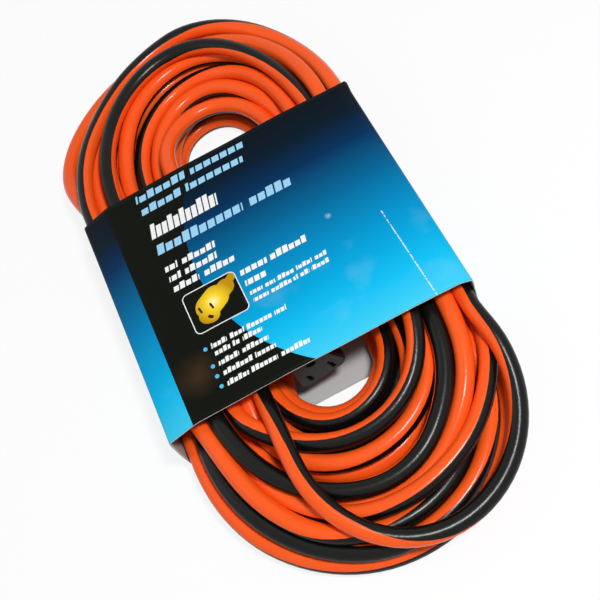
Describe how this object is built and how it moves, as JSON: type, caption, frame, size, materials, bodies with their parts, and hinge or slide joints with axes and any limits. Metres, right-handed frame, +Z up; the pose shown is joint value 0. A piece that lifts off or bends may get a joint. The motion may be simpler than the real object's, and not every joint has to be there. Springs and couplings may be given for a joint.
{
  "type": "extension cord",
  "caption": "Grounded outdoor extension cord with a molded plug and lighted connector, wound as a flat oval hank in a card sleeve.",
  "frame": {"origin": "on the floor under the middle of the hank", "axes": "+Z up out of the sleeve's front panel; +Y along the hank's long axis, towards the end that the plug points to; +X across the hank, with the sleeve's scored strip on the +X side"},
  "size_m": [0.1629, 0.34, 0.045],
  "materials": {
    "printed_card": "glossy printed paperboard, black fading to blue, uncoated gray inside",
    "cord_jacket": "smooth glossy vinyl, orange with a broad black stripe",
    "black_moulding": "satin molded vinyl",
    "dark_insulator": "molded nylon",
    "pale_insulator": "molded nylon",
    "nickel_plate": "nickel-plated brass",
    "contact_brass": "pressed brass strip",
    "copper_strand": "stranded bare copper",
    "black_insulation": "vinyl insulation",
    "white_insulation": "vinyl insulation",
    "green_insulation": "vinyl insulation",
    "amber_lens": "clear tinted plastic",
    "lamp_glass": "neon lamp glass",
    "resistor_body": "lacquered ceramic",
    "tinned_wire": "tinned copper wire"
  },
  "bodies": {
    "cord": {"cord_hank": "cord_jacket", "plug_tail": "cord_jacket", "connector_tail": "cord_jacket", "plug_body": "black_moulding", "plug_bridge": "dark_insulator", "line_blade": "nickel_plate", "neutral_blade": "nickel_plate", "ground_pin": "nickel_plate", "plug_line_wire": "black_insulation", "plug_neutral_wire": "white_insulation", "plug_ground_wire": "green_insulation", "plug_line_copper": "copper_strand", "plug_neutral_copper": "copper_strand", "plug_ground_copper": "copper_strand", "connector_body": "black_moulding", "contact_carrier": "pale_insulator", "line_contact": "contact_brass", "neutral_contact": "contact_brass", "ground_contact": "contact_brass", "connector_line_wire": "black_insulation", "connector_neutral_wire": "white_insulation", "connector_ground_wire": "green_insulation", "connector_line_copper": "copper_strand", "connector_neutral_copper": "copper_strand", "connector_ground_copper": "copper_strand", "indicator_lens": "amber_lens", "indicator_lamp": "lamp_glass", "lamp_resistor": "resistor_body", "lamp_leads": "tinned_wire"},
    "sleeve": {"sleeve": "printed_card"}
  },
  "joints": [
    {"name": "sleeve_slide", "type": "slide", "parent": "cord", "child": "sleeve", "axis": [0, 1, 0], "range_m": [-0.008, 0.008]}
  ]
}
